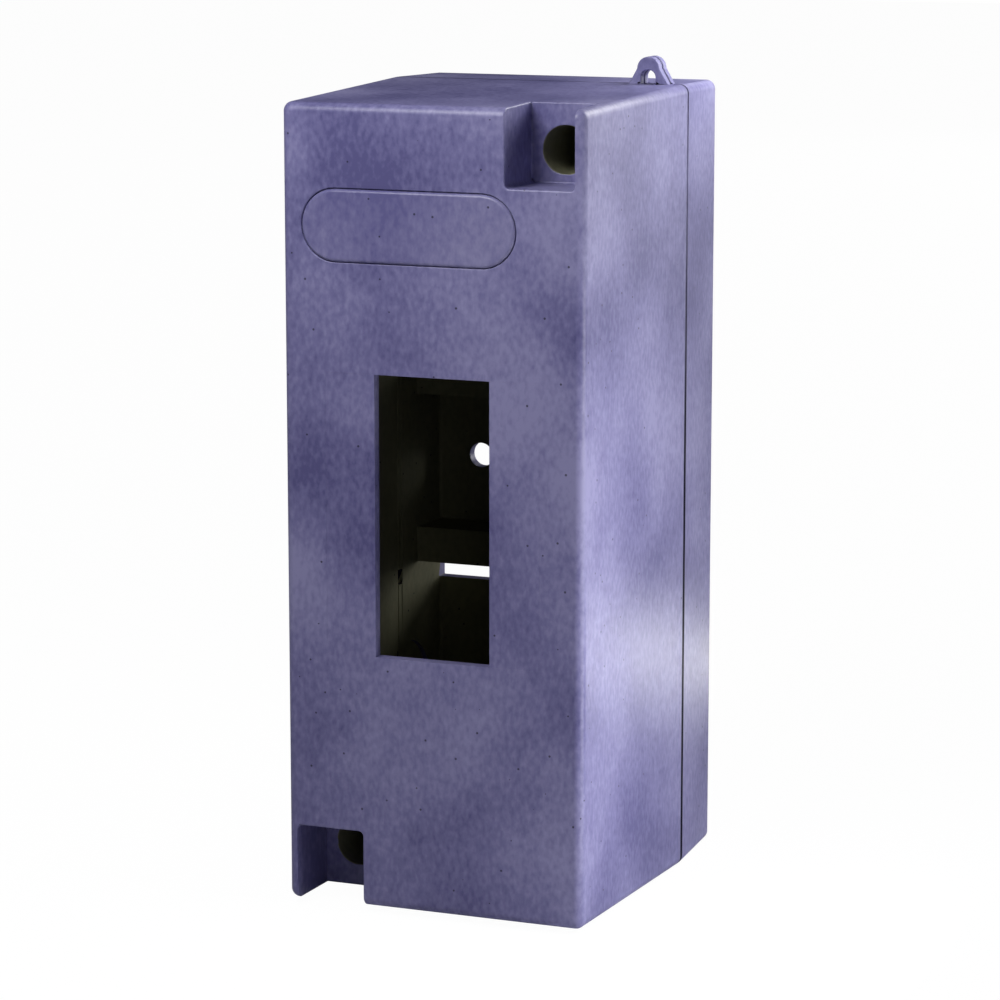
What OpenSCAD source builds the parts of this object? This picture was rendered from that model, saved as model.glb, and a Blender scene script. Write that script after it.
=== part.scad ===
// Surface-mounted modular breaker enclosure: a drafted two-part moulded box with rail lips
// moulded into its back, a device window with two tear-out strips, recessed cover screws,
// a two-leaf sealing lug and round cable knock-outs across the parting line.
// Frame: +Z up, the front faces -Y, the origin is on the wall face behind the box's centre.

/* [Box] */
// Width at the parting line
box_w = 52.3; // [44:0.1:64]
// Height at the parting line
box_h = 130; // [108:0.5:156]
// Depth of the base tray, from the wall face to the parting line
base_depth = 17; // [16:0.5:21]
// Depth of the front cover, from the parting line to the front face
cover_depth = 44.8; // [37:0.1:54]
// Narrowing of each cover side towards the front
cover_taper_x = 0.95; // [0.5:0.05:1.2]
// Narrowing of each cover end towards the front
cover_taper_z = 1.05; // [0.5:0.05:1.2]
// Narrowing of each base side towards the wall
base_taper_x = 0.8; // [0.2:0.05:1]
// Narrowing of each base end towards the wall
base_taper_z = 0.25; // [0.2:0.05:1]
// Radius of the outer edges and corners
edge_r = 1.5; // [0.8:0.1:1.8]

/* [Walls] */
// Thickness of the side and end walls
wall = 1.6; // [1.5:0.1:2]
// Thickness of the cover's front
front_wall = 2; // [1.8:0.1:2.6]
// Thickness of the base's back
back_wall = 2.2; // [1.8:0.1:2.8]
// Inside corner radius of both shells
inner_r = 0.5; // [0.3:0.1:1]

/* [Parting line] */
// Gap between the rims of cover and base
seam_gap = 0.3; // [0.2:0.05:0.5]
// Thickness of the locating tongue on the base rim
tongue_t = 0.7; // [0.5:0.1:0.8]
// Height of the locating tongue
tongue_h = 1.4; // [1:0.1:2]
// Clearance beside the tongue in the cover's rebate
tongue_clear = 0.2; // [0.1:0.05:0.3]
// Clearance ahead of the tongue in the cover's rebate
tongue_end_clear = 0.3; // [0.2:0.1:0.6]
// Width of the locating notch in the tongue
notch_w = 2.6; // [1:0.1:4]
// Distance from a knock-out's edge to the notch
notch_gap = 10.35; // [8:0.05:14]

/* [Device window] */
// Width of the moulded window
window_w = 19.3; // [17.5:0.1:20]
// Height of the window
window_h = 45; // [44:0.1:47]
// Width once both tear-out strips are removed
window_full_w = 36; // [35:0.1:36]
// Thickness of the tear-out strips
strip_t = 1.8; // [1:0.1:1.8]

/* [Rail lips] */
// Height of the rail's centre line against the middle of the box
rail_z = -0.5; // [-2:0.1:2]
// Overall height across both lips
rail_h = 35; // [34.8:0.1:35]
// Clear height of the channel between the lips
channel_h = 23; // [22:0.1:25]
// Thickness of the lips
lip_t = 1.1; // [1:0.1:1.4]
// Distance of the lips' front from the wall face
lip_front = 11.3; // [10:0.1:14]
// Thickness of the channel walls that carry the lips
channel_t = 1; // [0.8:0.1:1.5]
// Height of the slot through the back behind each lip
slot_h = 9.3; // [6:0.1:11]
// Width of the centre rib that parts the slots
slot_rib = 3; // [2:0.1:5]

/* [Wall fixing] */
// Distance between the two wall holes
wall_pitch = 32; // [26:0.5:34]
// Diameter of the wall holes
wall_hole_d = 4.2; // [3.5:0.1:5]

/* [Cover screws] */
// Inset of the screw axis from the box side
screw_inset_x = 8.3; // [8:0.1:10]
// Inset of the screw axis from the box end
screw_inset_z = 8.1; // [8:0.1:10]
// Thread diameter
screw_d = 4; // [3.5:0.1:4]
// Thread pitch
screw_pitch = 0.7; // [0.5:0.1:0.7]
// Shank length
screw_l = 10; // [9:0.5:12]
// Head diameter
head_d = 7; // [6.5:0.1:7]
// Head height
head_h = 2.4; // [2:0.1:3]
// Length of each bar of the cross recess
recess_l = 4; // [3:0.1:5]
// Width of the cross recess
recess_w = 0.9; // [0.7:0.1:1.2]
// Depth of the cross recess
recess_h = 1.3; // [1:0.1:1.6]
// Washer thickness
washer_t = 0.8; // [0.5:0.1:1.2]
// Radial running clearance of the screw in its washer and insert
screw_clear = 0.05; // [0.02:0.01:0.1]
// Radial clearance of the washer in the screw tube
washer_clear = 0.15; // [0.1:0.05:0.3]
// Bore of the screw tube
tube_bore = 7.5; // [7.3:0.1:8]
// Wall of the screw tube
tube_wall = 1.5; // [1.2:0.1:1.6]
// Thickness of the tube's end under the washer
tube_end = 2; // [1.5:0.1:3]
// Distance of the tube's end ahead of the parting line
tube_stand = 1; // [0.8:0.1:2]
// Radial clearance of the screw in the tube's end
pass_clear = 0.2; // [0.1:0.05:0.4]
// Depth of the open screw pocket
pocket_d = 11.3; // [8:0.1:14]
// Distance from the screw axis to the pocket's inner side
pocket_in = 5.75; // [5.5:0.05:6]
// Distance from the screw axis to the pocket's floor
pocket_floor = 5.2; // [4.8:0.05:6]
// Thickness of the pocket's own walls
pocket_wall = 1.6; // [1.2:0.1:2]
// Inside corner radius of the pocket
pocket_r = 0.8; // [0.5:0.1:1.2]

/* [Screw posts] */
// Diameter of the posts in the base
post_d = 9; // [8.4:0.1:9.4]
// Gap between post and screw tube
post_gap = 0.4; // [0.3:0.1:0.8]
// Outside diameter of the threaded insert
insert_d = 5.6; // [5:0.1:6]
// Length of the threaded insert
insert_l = 6; // [5:0.1:7]
// Diameter of the relief hole behind the insert
relief_d = 4.6; // [4.4:0.1:5]
// Length of the relief hole past the screw's tip
relief_over = 1; // [0.5:0.1:2]
// Thickness of the ribs beside each post
rib_t = 1.2; // [0.8:0.1:1.6]
// Height of the ribs above the base's floor
rib_h = 11; // [6:0.5:12]

/* [Sealing lug] */
// Distance of the lug's centre from the box side
lug_inset = 6.25; // [6:0.05:9]
// Width of the lug at its foot
lug_w = 6.6; // [6:0.1:8]
// Height of the lug above the box
lug_h = 4.4; // [4:0.1:6]
// Radius of the lug's top
lug_r = 1.9; // [1.6:0.1:2.2]
// Thickness of each leaf
lug_t = 1.7; // [1.2:0.1:2.5]
// Width of the sealing-wire hole
eye_w = 2.5; // [1.5:0.1:2.6]
// Height of the sealing-wire hole
eye_h = 2.3; // [1.8:0.1:2.6]

/* [Label plate] */
// Length of the label plate
label_l = 35.4; // [25:0.1:36]
// Height of the label plate
label_h = 11; // [8:0.1:12]
// Distance from the front's left edge to the plate
label_margin = 3.6; // [3:0.1:5]
// Distance from the front's top edge to the plate's centre line
label_drop = 18.9; // [18.5:0.1:22]
// Depth of the seat that holds the plate
label_seat = 1; // [0.6:0.1:1.2]
// Height of the plate above the front
label_proud = 0.3; // [0.1:0.1:0.6]
// Gap around the plate
label_gap = 0.3; // [0.2:0.05:0.5]
// Diameter of the plate's two pegs
peg_d = 2.4; // [1.8:0.1:3]
// Length of the pegs
peg_l = 2.6; // [2:0.1:4]
// Distance between the pegs
peg_pitch = 22; // [14:0.5:24]
// Radial clearance of the pegs in their holes
peg_clear = 0.05; // [0.02:0.01:0.1]

/* [Cable knock-outs] */
// Diameter of the knock-outs
knock_d = 17.5; // [12:0.5:19]
// Distance of their centre from the box end
knock_inset = 25; // [24:0.5:30]
// Distance of their centre from the wall face
knock_y = 15.1; // [14:0.1:17]
// Thickness of the membrane
knock_t = 0.8; // [0.5:0.1:1]

/* [Hidden] */
$fn = 64;
round_fn = 32;
sliver = 0.01;
over = 1;
front_y = -(base_depth + cover_depth);
rim_y = -base_depth - seam_gap;
front_w = box_w - 2 * cover_taper_x;
front_h = box_h - 2 * cover_taper_z;
back_w = box_w - 2 * base_taper_x;
back_h = box_h - 2 * base_taper_z;
screw_x = box_w / 2 - screw_inset_x;
screw_z = box_h / 2 - screw_inset_z;
pocket_y = front_y + pocket_d;
pocket_side = front_w / 2 - wall;
tube_y = -base_depth - tube_stand;
seat_y = tube_y - tube_end;
head_y = seat_y - washer_t;
post_y = tube_y + post_gap;
tip_y = head_y + screw_l;
washer_d = tube_bore - 2 * washer_clear;
floor_y = -back_wall;
hook_z = channel_h / 2 + channel_t;
lug_x = box_w / 2 - lug_inset;
label_x = -front_w / 2 + label_margin + label_l / 2;
label_z = front_h / 2 - label_drop;
knock_z = box_h / 2 - knock_inset;
notch_z = knock_z - knock_d / 2 - notch_gap - notch_w / 2;
strip_w = (window_full_w - window_w) / 2;
shell_color = "#6b6798";
SIDES = ["left", "right"];
ENDS = ["lower", "upper"];

// Half width of the box's outer skin at a depth y, cover or base
function skin_x(y) = y < -base_depth
    ? box_w / 2 - cover_taper_x * (rim_y - y) / (rim_y - front_y - edge_r)
    : box_w / 2 - base_taper_x * (y + base_depth) / (base_depth - edge_r);

// A cylinder along Y from y0 to y1, on the axis x, z
module rod(x, z, y0, y1, d) {
    translate([x, y0, z]) rotate([-90, 0, 0]) cylinder(d = d, h = y1 - y0);
}

// An outline in X and Z, extruded along Y from y0 to y1
module slab(y0, y1) {
    translate([0, y1, 0]) rotate([90, 0, 0]) linear_extrude(height = y1 - y0) children();
}

// A rectangle with round corners, centred
module rounded_rect(w, h, r) {
    square([w - 2 * r, h], center = true);
    square([w, h - 2 * r], center = true);
    for (sx = [-1, 1], sz = [-1, 1])
        translate([sx * (w / 2 - r), sz * (h / 2 - r)]) circle(r);
}

// A ball whose facets reach its full radius along X, Y and Z
module ball(r) {
    rotate([90, 0, 0]) rotate_extrude($fn = round_fn) intersection() {
        circle(r, $fn = round_fn);
        translate([0, -r]) square([r, 2 * r]);
    }
}

// A drafted block: a flat rim at rim, and a round-edged face at end
module drafted_block(rim, rim_size, end, end_size, r) {
    dir = sign(end - rim);
    hull() {
        for (sx = [-1, 1], sz = [-1, 1]) {
            translate([sx * (rim_size.x / 2 - r), rim, sz * (rim_size.y / 2 - r)])
                rotate([-90 * dir, 0, 0]) cylinder(r = r, h = sliver, $fn = round_fn);
            translate([sx * (end_size.x / 2 - r), end - dir * r, sz * (end_size.y / 2 - r)])
                ball(r);
        }
    }
}

// Both ends of the box: the upper screw is on the right, the lower one on the left
module each_screw() {
    for (turn = [0, 180]) rotate([0, turn, 0]) children();
}

// One leaf of the sealing lug, from y0 to y1
module lug_leaf(y0, y1) {
    translate([lug_x, 0, box_h / 2]) slab(y0, y1) difference() {
        union() {
            polygon([
                [-lug_w / 2, -wall / 2], [lug_w / 2, -wall / 2], [lug_w / 2, 0],
                [lug_r, lug_h - lug_r], [-lug_r, lug_h - lug_r], [-lug_w / 2, 0]
            ]);
            translate([0, lug_h - lug_r]) circle(lug_r);
        }
        translate([-eye_w / 2, 0]) square([eye_w, eye_h - eye_w / 2]);
        translate([0, eye_h - eye_w / 2]) circle(d = eye_w);
    }
}

// Round cutters through both side walls at every knock-out
module knockout_cutters() {
    for (sx = [-1, 1], sz = [-1, 1])
        translate([sx * box_w / 2, -knock_y, sz * knock_z])
            rotate([0, 90, 0]) cylinder(d = knock_d, h = 4 * wall, center = true);
}

// A strip of the right wall's outer skin between depths y0 and y1, as thick as the membrane
module skin_strip(y0, y1) {
    linear_extrude(height = knock_d, center = true) polygon([
        [skin_x(y0), y0], [skin_x(y1), y1],
        [skin_x(y1) - knock_t, y1], [skin_x(y0) - knock_t, y0]
    ]);
}

// One half of a knock-out, on one side and at one end
module knockout_half(side, end, y0, y1) {
    sz = end == "upper" ? 1 : -1;
    color(shell_color) mirror([side == "left" ? 1 : 0, 0, 0]) translate([0, 0, sz * knock_z])
        intersection() {
            skin_strip(y0, y1);
            translate([box_w / 2, -knock_y, 0])
                rotate([0, 90, 0]) cylinder(d = knock_d, h = 4 * wall, center = true);
        }
}

module base_knockout(side, end) {
    knockout_half(side, end, -base_depth, -knock_y + knock_d / 2);
}

module cover_knockout(side, end) {
    knockout_half(side, end, -knock_y - knock_d / 2, rim_y);
}

// Lips, channel walls and centre rib of the moulded rail
module rail() {
    length = back_w - wall;
    for (s = [-1, 1]) {
        translate([0, (floor_y - lip_front) / 2, rail_z + s * (channel_h + channel_t) / 2])
            cube([length, lip_front + floor_y, channel_t], center = true);
        translate([0, lip_t / 2 - lip_front, rail_z + s * (rail_h + channel_h) / 4])
            cube([length, lip_t, (rail_h - channel_h) / 2], center = true);
        translate([0, (floor_y - lip_front) / 2, rail_z + s * (rail_h / 2 + hook_z) / 2])
            cube([slot_rib, lip_front + floor_y, rail_h / 2 - hook_z], center = true);
    }
}

// Slots through the back, behind the lips
module rail_slots() {
    slot_w = (back_w / 2 - wall) - slot_rib / 2;
    for (sx = [-1, 1], sz = [-1, 1])
        translate([
            sx * (slot_rib + slot_w) / 2, floor_y / 2, rail_z + sz * (hook_z + slot_h / 2)
        ]) cube([slot_w, back_wall + 2 * over, slot_h], center = true);
}

// Screw post of the base, with two ribs to the walls
module post() {
    rod(screw_x, screw_z, post_y, floor_y + sliver, post_d);
    reach_x = back_w / 2 - wall / 2 - screw_x;
    reach_z = back_h / 2 - wall / 2 - screw_z;
    translate([screw_x, floor_y - rib_h, screw_z - rib_t / 2]) cube([reach_x, rib_h + sliver, rib_t]);
    translate([screw_x - rib_t / 2, floor_y - rib_h, screw_z]) cube([rib_t, rib_h + sliver, reach_z]);
}

module base_tray() {
    inner = [box_w - 2 * wall, box_h - 2 * wall];
    color(shell_color) difference() {
        union() {
            difference() {
                drafted_block(-base_depth, [box_w, box_h], 0, [back_w, back_h], edge_r);
                drafted_block(
                    -base_depth - over, inner, floor_y, [back_w - 2 * wall, back_h - 2 * wall], inner_r
                );
            }
            slab(-base_depth - tongue_h, -base_depth + sliver) difference() {
                rounded_rect(inner.x + 2 * tongue_t, inner.y + 2 * tongue_t, edge_r);
                rounded_rect(inner.x, inner.y, inner_r);
            }
            rail();
            each_screw() post();
            lug_leaf(-base_depth, -base_depth + lug_t);
        }
        rail_slots();
        knockout_cutters();
        for (sx = [-1, 1]) rod(sx * wall_pitch / 2, rail_z, floor_y - over, over, wall_hole_d);
        each_screw() {
            rod(screw_x, screw_z, post_y - over, post_y + insert_l, insert_d);
            rod(screw_x, screw_z, post_y, tip_y + relief_over, relief_d);
        }
        for (s = [-1, 1])
            translate([s * (box_w / 2 - wall), -base_depth - tongue_h / 2, s * notch_z])
                cube([2 * wall, tongue_h, notch_w], center = true);
    }
}

// Walls around the upper screw pocket, before the pocket is cut
module pocket_walls() {
    x0 = screw_x - pocket_in - pocket_wall;
    x1 = pocket_side + wall / 2;
    z0 = screw_z - pocket_floor - pocket_wall;
    z1 = front_h / 2 - wall / 2;
    y0 = front_y + front_wall / 2;
    y1 = pocket_y + pocket_wall;
    translate([x0, y0, z0]) cube([x1 - x0, y1 - y0, z1 - z0]);
    rod(screw_x, screw_z, pocket_y, tube_y, tube_bore + 2 * tube_wall);
}

// The open pocket above the upper screw, and the stepped hole behind it
module pocket_cut() {
    x0 = screw_x - pocket_in;
    z0 = screw_z - pocket_floor;
    w = pocket_side - x0;
    h = box_h / 2 + over - z0;
    translate([x0 + w / 2, 0, z0 + h / 2]) slab(front_y - over, pocket_y) rounded_rect(w, h, pocket_r);
    rod(screw_x, screw_z, pocket_y - over, seat_y, tube_bore);
    rod(screw_x, screw_z, seat_y - over, tube_y + over, screw_d + 2 * pass_clear);
}

module label_outline(gap) {
    end_r = label_h / 2 + gap;
    square([label_l - label_h, 2 * end_r], center = true);
    for (s = [-1, 1]) translate([s * (label_l - label_h) / 2, 0]) circle(end_r);
}

module front_cover() {
    rim_inner = [box_w - 2 * wall, box_h - 2 * wall];
    rebate = 2 * (tongue_t + tongue_clear);
    color(shell_color) difference() {
        union() {
            difference() {
                drafted_block(rim_y, [box_w, box_h], front_y, [front_w, front_h], edge_r);
                drafted_block(
                    rim_y + over, rim_inner, front_y + front_wall,
                    [front_w - 2 * wall, front_h - 2 * wall], inner_r
                );
            }
            each_screw() pocket_walls();
            lug_leaf(rim_y - lug_t, rim_y);
        }
        slab(-base_depth - tongue_h - tongue_end_clear, rim_y + over)
            rounded_rect(rim_inner.x + rebate, rim_inner.y + rebate, edge_r);
        each_screw() pocket_cut();
        knockout_cutters();
        translate([0, front_y + front_wall / 2, rail_z])
            cube([window_full_w, front_wall + 2 * over, window_h], center = true);
        translate([label_x, 0, label_z]) slab(front_y - over, front_y + label_seat) label_outline(label_gap);
        for (s = [-1, 1])
            rod(
                label_x + s * peg_pitch / 2, label_z, front_y, front_y + front_wall + over,
                peg_d + 2 * peg_clear
            );
    }
}

module label_plate() {
    color("#716da0") {
        translate([label_x, 0, label_z]) slab(front_y - label_proud, front_y + label_seat) label_outline(0);
        for (s = [-1, 1])
            rod(
                label_x + s * peg_pitch / 2, label_z, front_y + label_seat / 2,
                front_y + label_seat + peg_l, peg_d
            );
    }
}

// A tear-out strip beside the window, s = -1 on the left and 1 on the right
module window_strip(s) {
    color(shell_color) translate([s * (window_w + strip_w) / 2, front_y + strip_t / 2, rail_z])
        cube([strip_w, strip_t, window_h], center = true);
}

// The upper cover screw: pan head with a cross recess, and a shank with a chamfered tip
module cover_screw() {
    chamfer = screw_pitch;
    color("#b9bcc0") difference() {
        union() {
            rod(screw_x, screw_z, head_y - head_h, head_y, head_d);
            rod(screw_x, screw_z, head_y - sliver, tip_y - chamfer, screw_d);
            translate([screw_x, tip_y - chamfer, screw_z]) rotate([-90, 0, 0])
                cylinder(d1 = screw_d, d2 = screw_d - 2 * chamfer, h = chamfer);
        }
        for (turn = [0, 90])
            translate([screw_x, head_y - head_h, screw_z]) rotate([0, turn, 0])
                cube([recess_l, 2 * recess_h, recess_w], center = true);
    }
}

module screw_washer() {
    color("#d8d6cc") difference() {
        rod(screw_x, screw_z, head_y, seat_y, washer_d);
        rod(screw_x, screw_z, head_y - over, seat_y + over, screw_d + 2 * screw_clear);
    }
}

module threaded_insert() {
    color("#b8923c") difference() {
        rod(screw_x, screw_z, post_y, post_y + insert_l, insert_d);
        rod(screw_x, screw_z, post_y - over, post_y + insert_l + over, screw_d + 2 * screw_clear);
    }
}

base_tray();
front_cover();
label_plate();
window_strip(-1);  // window_strip_left
window_strip(1);  // window_strip_right
cover_screw();  // upper_cover_screw
rotate([0, 180, 0]) cover_screw();  // lower_cover_screw
screw_washer();  // upper_screw_washer
rotate([0, 180, 0]) screw_washer();  // lower_screw_washer
threaded_insert();  // upper_threaded_insert
rotate([0, 180, 0]) threaded_insert();  // lower_threaded_insert
for (side = SIDES, end = ENDS) {
    base_knockout(side, end);
    cover_knockout(side, end);
}
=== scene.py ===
"""Looks of a small wall-mounted enclosure for modular breakers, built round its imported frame.

The two moulded shells and the knock-outs are merged copies of the frame's own meshes, and the shells
get rounded edges. Label plate, tear-out strips, screws, washers and threaded inserts are surfaces worked
out with numpy. Everything is in metres, with +Z up and the front facing -Y.
"""

import logging
import math
from collections.abc import Callable, Sequence
from dataclasses import dataclass, field
from enum import Enum

import bmesh
import bpy
import numpy as np
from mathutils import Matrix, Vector


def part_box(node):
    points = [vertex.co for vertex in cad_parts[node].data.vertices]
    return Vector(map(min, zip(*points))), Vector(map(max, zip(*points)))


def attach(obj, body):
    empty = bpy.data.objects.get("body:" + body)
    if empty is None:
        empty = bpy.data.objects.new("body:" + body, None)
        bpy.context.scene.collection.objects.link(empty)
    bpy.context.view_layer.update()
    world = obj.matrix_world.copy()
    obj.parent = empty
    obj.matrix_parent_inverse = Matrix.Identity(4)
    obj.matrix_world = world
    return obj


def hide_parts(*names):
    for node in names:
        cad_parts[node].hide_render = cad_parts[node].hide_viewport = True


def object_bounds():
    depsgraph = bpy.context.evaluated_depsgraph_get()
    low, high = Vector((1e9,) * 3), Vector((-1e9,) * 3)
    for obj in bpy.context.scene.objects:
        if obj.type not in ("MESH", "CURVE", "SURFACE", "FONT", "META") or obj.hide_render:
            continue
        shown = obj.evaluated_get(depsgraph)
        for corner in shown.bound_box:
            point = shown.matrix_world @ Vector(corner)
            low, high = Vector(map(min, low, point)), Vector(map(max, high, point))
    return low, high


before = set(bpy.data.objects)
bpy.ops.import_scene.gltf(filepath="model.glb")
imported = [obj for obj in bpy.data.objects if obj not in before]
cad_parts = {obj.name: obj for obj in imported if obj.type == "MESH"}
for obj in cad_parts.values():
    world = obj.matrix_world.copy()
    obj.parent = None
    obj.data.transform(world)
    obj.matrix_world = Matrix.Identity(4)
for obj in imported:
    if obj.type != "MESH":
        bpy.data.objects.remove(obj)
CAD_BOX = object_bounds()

LOG = logging.getLogger("enclosure")
MM = 0.001
WELD = 1e-6
SMOOTH_ANGLE = math.radians(32)
FLAT_ANGLE = math.radians(0.05)


class Side(Enum):
    """The enclosure's sides, seen from the front."""

    LEFT = -1
    RIGHT = 1


class End(Enum):
    """The enclosure's ends."""

    LOWER = -1
    UPPER = 1


class Role(Enum):
    """Which of a piece's two material slots a face takes."""

    OUTSIDE = 0
    INSIDE = 1


# ---------------------------------------------------------------------------------------------
# Finishes
# ---------------------------------------------------------------------------------------------


def linear(hex_colour: str) -> tuple[float, float, float, float]:
    """Turns an sRGB hex colour into linear light.

    Args:
        hex_colour: Six hex digits, with or without a leading hash.

    Returns:
        Red, green, blue and an alpha of one.
    """
    digits = hex_colour.lstrip("#")
    srgb = np.array([int(digits[i : i + 2], 16) for i in (0, 2, 4)]) / 255
    light = np.where(srgb <= 0.04045, srgb / 12.92, ((srgb + 0.055) / 1.055) ** 2.4)
    return (*light.tolist(), 1.0)


def add_node(
    tree: bpy.types.NodeTree,
    kind: str,
    inputs: dict[str | int, object] | None = None,
    **settings: object,
) -> bpy.types.Node:
    """Adds one shader node, with its settings, values and links.

    Args:
        tree: The node tree that gets the node.
        kind: The node's Blender type name.
        inputs: Input name or number to a value, or to the output socket that feeds it.
        **settings: The node's own properties.

    Returns:
        The new node.
    """
    node = tree.nodes.new(kind)
    for name, value in settings.items():
        setattr(node, name, value)
    for key, value in (inputs or {}).items():
        if isinstance(value, bpy.types.NodeSocket):
            tree.links.new(value, node.inputs[key])
        else:
            node.inputs[key].default_value = value
    return node


def per_metre(size_mm: float) -> float:
    """The texture scale that gives a pattern of a real size.

    Args:
        size_mm: The pattern's unit in millimetres.

    Returns:
        The scale, in units a metre.
    """
    return 1 / (size_mm * MM)


def calculate(tree: bpy.types.NodeTree, operation: str, *values: object) -> bpy.types.NodeSocket:
    """Adds a maths node.

    Args:
        tree: The node tree.
        operation: The node's operation.
        *values: Its numbers or sockets, in order.

    Returns:
        The result's socket.
    """
    inputs = dict(enumerate(values))
    return add_node(tree, "ShaderNodeMath", inputs, operation=operation).outputs[0]


def remap(
    tree: bpy.types.NodeTree,
    value: bpy.types.NodeSocket,
    given: tuple[float, float] = (0.0, 1.0),
    wanted: tuple[float, float] = (0.0, 1.0),
) -> bpy.types.NodeSocket:
    """Adds a node that stretches one range onto another, clamped at both ends.

    Args:
        tree: The node tree.
        value: The value's socket.
        given: The range that comes in.
        wanted: The range that goes out, which may run downwards.

    Returns:
        The result's socket.
    """
    ranges = {"From Min": given[0], "From Max": given[1], "To Min": wanted[0], "To Max": wanted[1]}
    return add_node(tree, "ShaderNodeMapRange", {"Value": value, **ranges}).outputs[0]


def noise(
    tree: bpy.types.NodeTree,
    at: bpy.types.NodeSocket,
    size_mm: float,
    detail: float,
    roughness: float = 0.5,
) -> bpy.types.NodeSocket:
    """Adds a noise pattern.

    Args:
        tree: The node tree.
        at: The coordinates.
        size_mm: The size of its largest features.
        detail: How many finer octaves it has.
        roughness: How much the finer octaves count.

    Returns:
        The pattern's socket.
    """
    inputs = {"Vector": at, "Scale": per_metre(size_mm), "Detail": detail, "Roughness": roughness}
    return add_node(tree, "ShaderNodeTexNoise", inputs).outputs["Fac"]


def blank_material(name: str) -> tuple[bpy.types.Material, bpy.types.NodeTree]:
    """A material with an empty node tree.

    Args:
        name: The material's name.

    Returns:
        The material and its node tree.
    """
    material = bpy.data.materials.new(name)
    material.use_nodes = True
    material.node_tree.nodes.clear()
    return material, material.node_tree


@dataclass(frozen=True)
class MouldedPlastic:
    """Injection-moulded plastic from a spark-eroded tool: an even, matt, fine grain.

    The grain breaks up reflections, so a grazing light gives a soft milky bloom in place of a
    mirror image. Slow colour clouds stand for the pigment's flow, and the dark specks for burnt
    grains in the plastic. Where joint_mm is given, a dark line of painted shade, standing in for the
    shadow in the gap between two shells, lies that far in front of the wall.
    """

    name: str
    body: str
    light: str
    dark: str
    roughness: float = 0.46
    roughness_spread: float = 0.05
    ior: float = 1.5
    specular: float = 0.5
    grain_mm: float = 0.34
    grain_depth_mm: float = 0.012
    grain_strength: float = 0.5
    mottle_mm: float = 0.8
    mottle_stretch: float = 0.6
    mottle_share: float = 0.5
    cloud_mm: float = 24.0
    cloud_roughness: float = 0.45
    cloud_range: tuple[float, float] = (0.3, 0.7)
    tone_spread: float = 0.2
    speck_mm: float = 2.9
    speck_radius_mm: float = 0.19
    speck_share: float = 0.9
    speck_dark: float = 0.75
    # the specks' colour, which the joint's painted shade also takes
    speck_and_shade_colour: str = "#14131c"
    # where the joint's painted shade lies, how wide and soft it is, and how it fades with height
    joint_mm: float | None = None
    joint_half_mm: float = 0.46
    joint_softness: float = 1.3
    joint_fade_mm: tuple[float, float] = (10.0, 50.0)
    joint_dark: tuple[float, float] = (0.95, 0.3)

    def build(self) -> bpy.types.Material:
        """Makes the material.

        Returns:
            The material, whose patterns read object coordinates.
        """
        material, tree = blank_material(self.name)
        at = add_node(tree, "ShaderNodeTexCoord").outputs["Object"]
        # the grain only tilts the shading, and leaves the surface where it is
        grain = noise(tree, at, self.grain_mm, 2.0)
        # the pigment is drawn out along the height into faint upright streaks
        stretch = (1.0, 1.0, self.mottle_stretch)
        drawn = add_node(tree, "ShaderNodeMapping", {"Vector": at, "Scale": stretch}).outputs[0]
        mottle = noise(tree, drawn, self.mottle_mm, 4.0)
        cloud = noise(tree, at, self.cloud_mm, 3.0, self.cloud_roughness)
        tone = calculate(tree, "MULTIPLY_ADD", mottle, self.mottle_share, cloud)
        middle = 0.5 * (1 + self.mottle_share)
        share = remap(tree, tone, (middle - self.tone_spread, middle + self.tone_spread))
        ramp = add_node(tree, "ShaderNodeValToRGB", {"Fac": share})
        stops = ramp.color_ramp.elements
        stops.new(0.5)
        for stop, colour in zip(stops, (self.dark, self.body, self.light)):
            stop.color = linear(colour)
        # the specks are the plastic's own; the joint line mixed in below is painted shade
        specks_and_shade, sheen = self._specks(tree, at), self.specular
        if self.joint_mm is not None:
            line = self._joint_shade_line(tree, at)
            # the joint's painted shade has no sheen either
            sheen = calculate(tree, "MULTIPLY_ADD", line, -self.specular, self.specular)
            specks_and_shade = calculate(tree, "MAXIMUM", specks_and_shade, line)
        # a mix of colours takes them on inputs 6 and 7, and gives the result on output 2
        colour = add_node(
            tree,
            "ShaderNodeMix",
            {"Factor": specks_and_shade, 6: ramp.outputs["Color"], 7: linear(self.speck_and_shade_colour)},
            data_type="RGBA",
        ).outputs[2]
        smoothest = self.roughness - self.roughness_spread
        roughest = self.roughness + self.roughness_spread
        rough = remap(tree, cloud, self.cloud_range, (smoothest, roughest))
        bump = add_node(
            tree,
            "ShaderNodeBump",
            {"Height": grain, "Strength": self.grain_strength, "Distance": self.grain_depth_mm * MM},
        ).outputs["Normal"]
        shader = add_node(
            tree,
            "ShaderNodeBsdfPrincipled",
            {
                "Base Color": colour,
                "Roughness": rough,
                "IOR": self.ior,
                "Specular IOR Level": sheen,
                "Normal": bump,
            },
        )
        add_node(tree, "ShaderNodeOutputMaterial", {"Surface": shader.outputs[0]})
        return material

    def _specks(self, tree: bpy.types.NodeTree, at: bpy.types.NodeSocket) -> bpy.types.NodeSocket:
        """Sparse round specks, where the surface cuts small dark balls.

        A share of the cells of a cell pattern hold a ball at their centre. Only the balls that the
        surface passes through show, so the specks are few.

        Args:
            tree: The material's node tree.
            at: The coordinates.

        Returns:
            The dark share, zero nearly everywhere.
        """
        cells = add_node(
            tree, "ShaderNodeTexVoronoi", {"Vector": at, "Scale": per_metre(self.speck_mm)}
        )
        reach = self.speck_radius_mm / self.speck_mm
        near = calculate(tree, "LESS_THAN", cells.outputs["Distance"], reach)
        chance = add_node(tree, "ShaderNodeSeparateColor", {"Color": cells.outputs["Color"]}).outputs[0]
        chosen = calculate(tree, "LESS_THAN", chance, self.speck_share)
        both = calculate(tree, "MULTIPLY", near, chosen)
        return calculate(tree, "MULTIPLY", both, self.speck_dark)

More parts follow.
